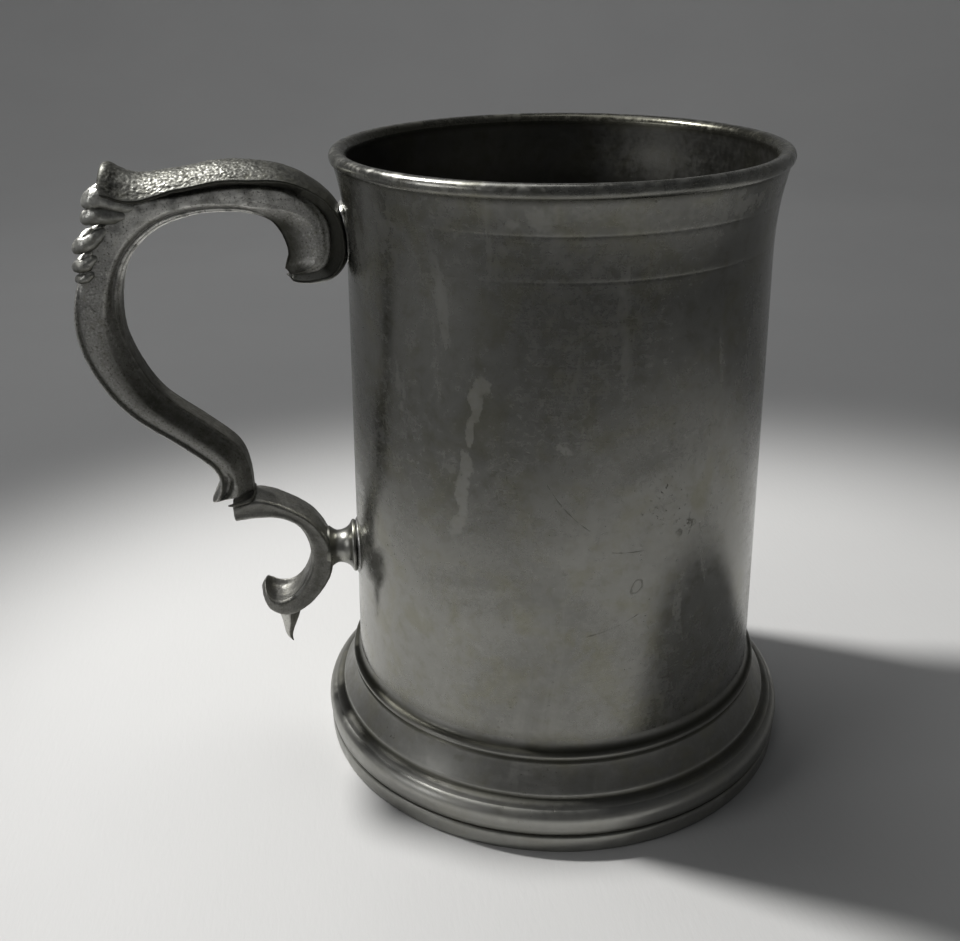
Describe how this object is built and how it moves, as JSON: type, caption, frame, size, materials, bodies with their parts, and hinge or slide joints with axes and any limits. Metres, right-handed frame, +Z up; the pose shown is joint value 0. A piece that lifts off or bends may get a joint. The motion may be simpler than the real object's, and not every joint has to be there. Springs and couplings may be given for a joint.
{
  "type": "beer stein",
  "caption": "Lidless pewter tankard: tapered drum with a flared rounded rim, stepped hollow foot and a leaf-topped double-scroll handle.",
  "frame": {"origin": "on the table, under the middle of the whole part's bounding box; the drum axis stands 21.6 mm along +X from it", "axes": "+Z up, parallel to the drum axis; the handle lies in the plane y = 0 on the -X side"},
  "size_m": [0.1468, 0.1036, 0.13],
  "materials": {
    "drum": "satin, tarnished, lightly pitted, with turning lines",
    "floor_disc": "dull, tarnished",
    "foot_skirt": "satin, turned mouldings, tarnished",
    "foot_wire": "satin, worn at the lower edge",
    "cup_seam_solder": "satin, wiped solder",
    "under_floor_solder": "satin, wiped solder",
    "upper_scroll": "as cast, dull, tarnished",
    "thumb_leaf": "as cast, stippled, worn bright on the high spots",
    "back_lobes": "as cast, worn bright on the tips",
    "lower_scroll": "as cast, dull, tarnished",
    "drop_finial": "as cast, dull, tarnished",
    "strut": "turned, satin",
    "strut_solder": "satin, wiped solder",
    "upper_joint_solder": "bright solder",
    "scroll_joint_solder": "satin, wiped solder"
  },
  "bodies": {
    "root": {"drum": "drum", "floor_disc": "floor_disc", "foot_skirt": "foot_skirt", "foot_wire": "foot_wire", "cup_seam_solder": "cup_seam_solder", "under_floor_solder": "under_floor_solder", "upper_scroll": "upper_scroll", "thumb_leaf": "thumb_leaf", "back_lobes": "back_lobes", "lower_scroll": "lower_scroll", "drop_finial": "drop_finial", "strut": "strut", "strut_solder": "strut_solder", "upper_joint_solder": "upper_joint_solder", "scroll_joint_solder": "scroll_joint_solder"}
  },
  "joints": []
}
